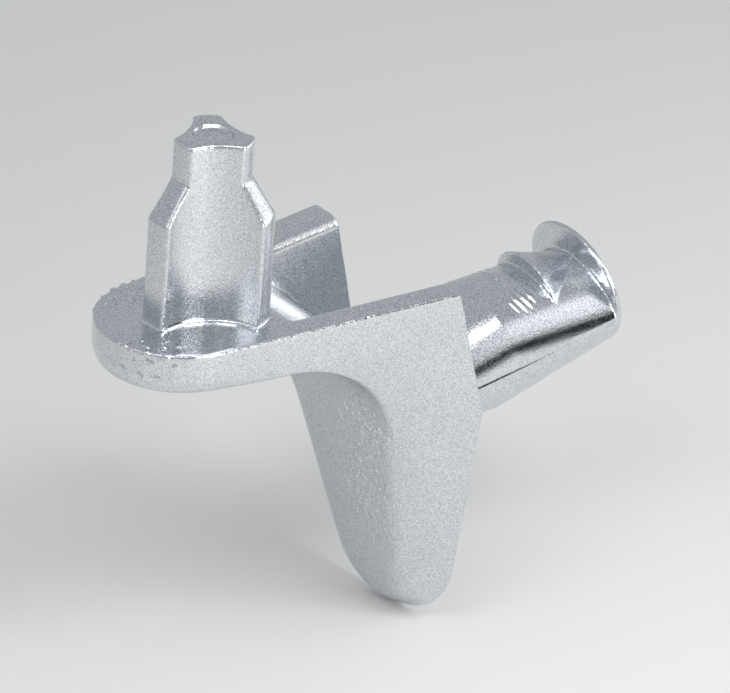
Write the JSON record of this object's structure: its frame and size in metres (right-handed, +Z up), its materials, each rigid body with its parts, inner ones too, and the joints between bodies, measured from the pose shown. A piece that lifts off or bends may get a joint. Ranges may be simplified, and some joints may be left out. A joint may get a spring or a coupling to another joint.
{
  "type": "shelf support pin",
  "caption": "Die-cast shelf support with a barbed wall plug, a rounded tongue that bears on the panel, a flat shelf seat and a fluted upright pin that locks the shelf.",
  "frame": {"origin": "point where the axis of the panel's hole meets the panel face", "axes": "+X into the panel along the hole, +Y along the panel face, +Z up towards the shelf"},
  "size_m": [0.0231, 0.0088, 0.0224],
  "materials": {
    "plated_zinc": "bright zinc-plated die casting with a fine cast grain"
  },
  "bodies": {
    "root": {"shelf_support": "plated_zinc"}
  },
  "joints": []
}
